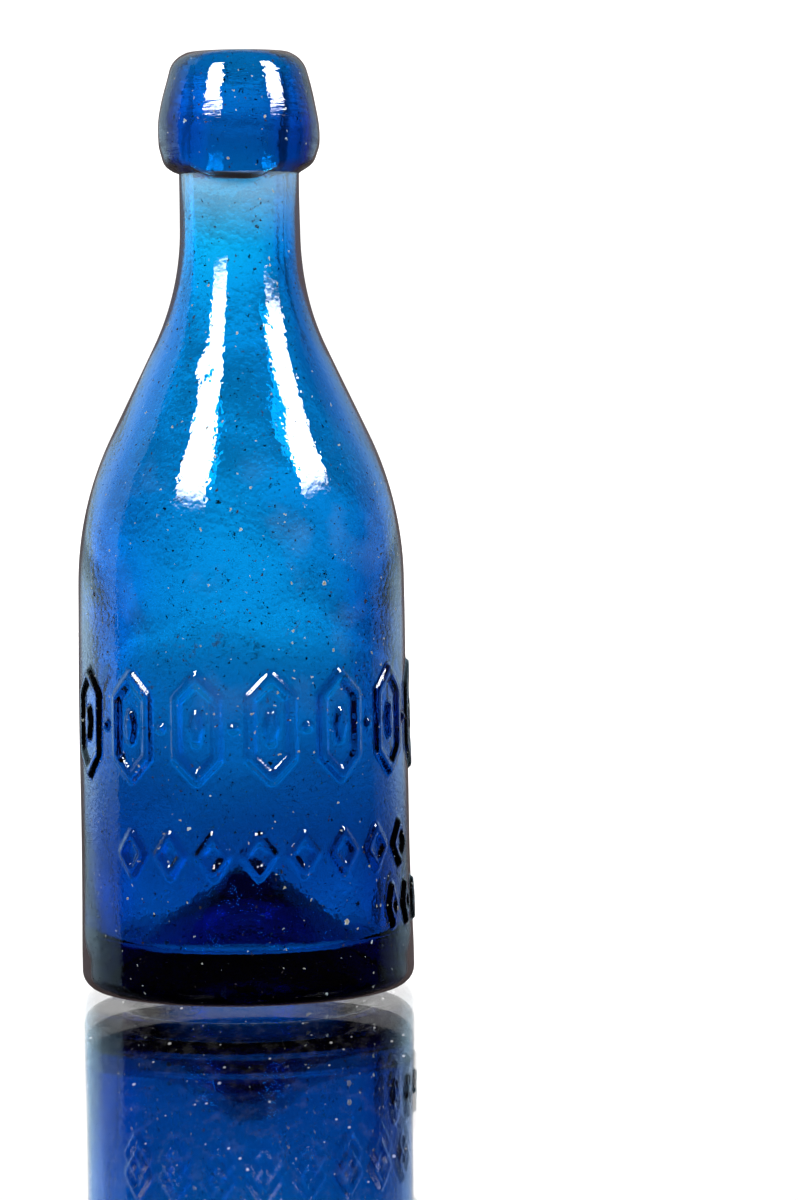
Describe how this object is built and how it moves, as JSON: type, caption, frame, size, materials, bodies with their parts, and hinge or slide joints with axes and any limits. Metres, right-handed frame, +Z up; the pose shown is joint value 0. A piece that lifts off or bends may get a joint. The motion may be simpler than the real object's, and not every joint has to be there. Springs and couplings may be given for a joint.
{
  "type": "glass soda-water bottle",
  "caption": "Mould-blown cobalt glass bottle with a sloping shoulder, geometric relief bands, a conical push-up base and a thick applied lip; holds and pours a drink.",
  "frame": {"origin": "centre of the resting plane, under the middle of the base", "axes": "+Z up along the bottle's axis of revolution, -Y towards the front of the relief rows"},
  "size_m": [0.0665, 0.0664, 0.185],
  "materials": {
    "cobalt_glass": "clear cobalt blue blown glass, glossy, with seed bubbles, pits and a faint haze of wear",
    "lip_glass": "thick clear cobalt blue glass, glossy, tooled while hot, with a few pits"
  },
  "bodies": {
    "root": {"bottle_body": "cobalt_glass", "applied_lip": "lip_glass"}
  },
  "joints": []
}
